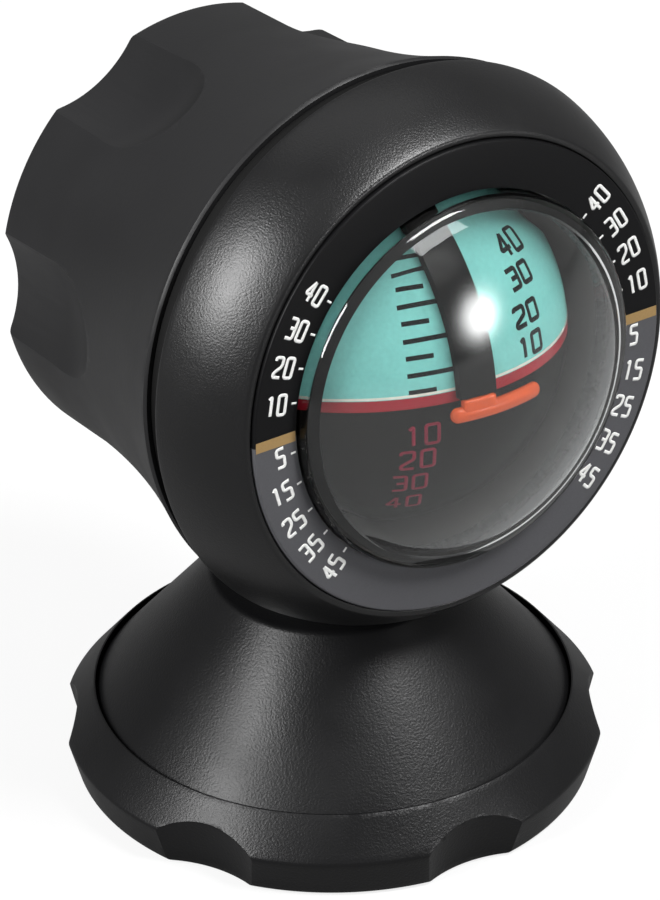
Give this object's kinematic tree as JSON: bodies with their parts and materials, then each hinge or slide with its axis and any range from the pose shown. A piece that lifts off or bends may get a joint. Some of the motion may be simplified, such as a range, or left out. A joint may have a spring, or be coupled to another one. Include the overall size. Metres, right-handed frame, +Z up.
{
  "type": "dashboard slope meter",
  "caption": "Dashboard instrument on a conical stick-down base: a weighted ball card behind a domed lens shows pitch, and a scale ring around it shows roll.",
  "frame": {"origin": "middle of the adhesive pad's underside, on the dashboard", "axes": "+Z up, away from the dashboard; -Y the way the dial faces; +X the reader's right"},
  "size_m": [0.0725, 0.0688, 0.1019],
  "materials": {
    "adhesive_pad": "matt closed-cell foam with adhesive on both faces",
    "base_plate": "moulded black plastic",
    "base_ring": "fine-grained satin black plastic",
    "base_cone": "fine-grained satin black plastic",
    "base_screws": "zinc-plated steel",
    "disc_spring": "spring steel",
    "socket_ring": "black acetal",
    "seat_cup": "natural acetal",
    "dust_cap": "matt black plastic",
    "ball_stud": "black glass-filled nylon",
    "neck_collar": "matt black plastic",
    "stud_nut": "zinc-plated steel",
    "rear_shell": "smooth satin dark grey plastic",
    "chassis_ring": "matt black plastic",
    "bezel": "fine-grained satin black plastic",
    "bezel_screws": "zinc-plated steel",
    "dial_ring": "printed plastic: black above, dark grey below",
    "lens": "clear moulded plastic",
    "lens_gasket": "black rubber cord",
    "capsule_bowl": "grey-brown plastic",
    "shell_screws": "blackened steel",
    "roll_bush": "turned brass",
    "roll_axle": "polished steel",
    "axle_clip": "spring steel",
    "roll_frame": "black plastic",
    "roll_weight": "brass shoes",
    "pivot_bushes": "turned brass",
    "pointer_arm": "satin black plastic",
    "pointer": "orange plastic",
    "ball_axle": "polished steel",
    "ball_upper": "teal plastic with printed scale",
    "ball_lower": "dark brown-black plastic with printed scale",
    "horizon_band": "red band with a thin white line",
    "ball_weight": "lead-free cast weight"
  },
  "bodies": {
    "base": {"adhesive_pad": "adhesive_pad", "base_plate": "base_plate", "base_ring": "base_ring", "base_cone": "base_cone", "base_screws": "base_screws", "socket_ring": "socket_ring", "disc_spring": "disc_spring"},
    "swivel": {"seat_cup": "seat_cup"},
    "tilt": {"dust_cap": "dust_cap"},
    "head": {"ball_stud": "ball_stud", "neck_collar": "neck_collar", "stud_nut": "stud_nut", "rear_shell": "rear_shell", "chassis_ring": "chassis_ring", "bezel": "bezel", "bezel_screws": "bezel_screws", "dial_ring": "dial_ring", "lens": "lens", "lens_gasket": "lens_gasket", "capsule_bowl": "capsule_bowl", "shell_screws": "shell_screws", "roll_bush": "roll_bush"},
    "gimbal": {"roll_axle": "roll_axle", "axle_clip": "axle_clip", "roll_frame": "roll_frame", "roll_weight": "roll_weight", "pivot_bushes": "pivot_bushes", "pointer_arm": "pointer_arm", "pointer": "pointer"},
    "card": {"ball_axle": "ball_axle", "ball_upper": "ball_upper", "ball_lower": "ball_lower", "horizon_band": "horizon_band", "ball_weight": "ball_weight"}
  },
  "joints": [
    {"name": "head_swivel", "type": "hinge", "parent": "base", "child": "swivel", "pos_m": [0, 0, 0.02], "axis": [0, 0, 1], "continuous": true},
    {"name": "head_tilt", "type": "hinge", "parent": "swivel", "child": "tilt", "pos_m": [0, 0, 0.02], "axis": [1, 0, 0], "range_deg": [-10, 5]},
    {"name": "head_roll", "type": "hinge", "parent": "tilt", "child": "head", "pos_m": [0, 0, 0.02], "axis": [0, -0.9974, 0.0725], "range_deg": [-8, 12]},
    {"name": "card_roll", "type": "hinge", "parent": "head", "child": "gimbal", "pos_m": [0.00155, -0.00641, 0.06529], "axis": [0, -0.9974, 0.0725], "continuous": true},
    {"name": "card_pitch", "type": "hinge", "parent": "gimbal", "child": "card", "pos_m": [0.00155, -0.00641, 0.06529], "axis": [0.9994, -0.0025, -0.0346], "continuous": true}
  ]
}
